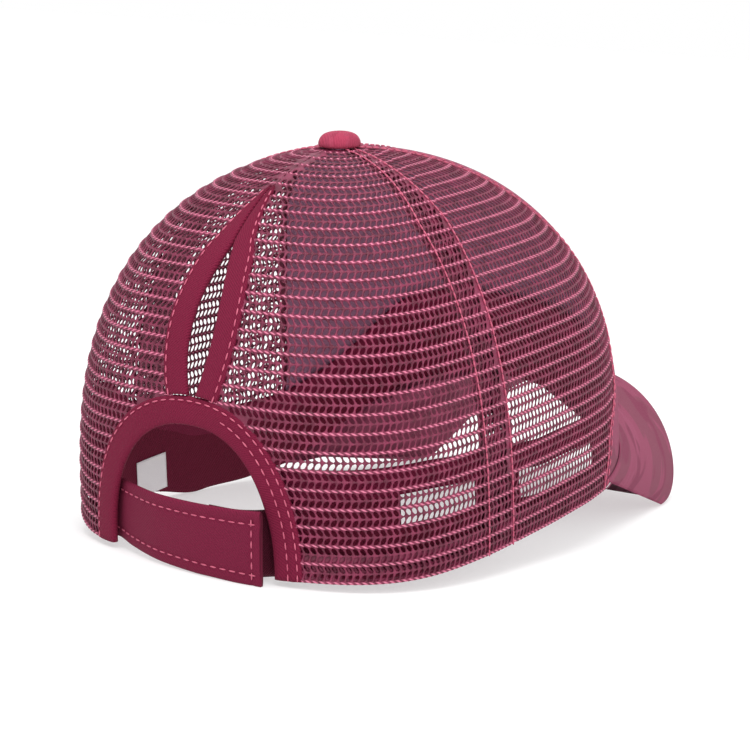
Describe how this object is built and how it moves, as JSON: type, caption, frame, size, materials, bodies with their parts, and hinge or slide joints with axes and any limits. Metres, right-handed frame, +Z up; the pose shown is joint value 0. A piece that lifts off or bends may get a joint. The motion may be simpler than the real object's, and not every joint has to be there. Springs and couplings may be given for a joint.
{
  "type": "ponytail baseball cap",
  "caption": "Net-backed baseball cap with a cloth front, a curved peak, a bound slit over an arch at the back for a ponytail, and a wide hook-and-loop strap.",
  "frame": {"origin": "on the floor below the middle of the cap's box", "axes": "+Y towards the back of the cap with the strap, -Y towards the peak, +X towards the wearer's left, +Z up"},
  "size_m": [0.154, 0.278, 0.1443],
  "materials": {
    "net": "open polyester net in glossy maroon yarn",
    "camouflage": "matt brushed twill in dusty mauve with a tone-on-tone blotch pattern",
    "binding": "matt maroon twill with a lighter pink stitch row",
    "lining": "matt dark maroon twill and loop tape",
    "button": "matt rose cloth stretched over a metal button",
    "label": "smooth white woven ribbon, bare"
  },
  "bodies": {
    "root": {"side_net_right": "net", "side_net_left": "net", "back_net_right": "net", "back_net_left": "net", "front_panel_right": "camouflage", "front_panel_left": "camouflage", "seam_tape_right": "net", "seam_tape_left": "net", "arch_binding": "binding", "slit_binding_right": "binding", "slit_binding_left": "binding", "strap": "binding", "strap_tab": "lining", "sweatband": "lining", "peak": "camouflage", "button": "button", "care_label": "label"}
  },
  "joints": []
}
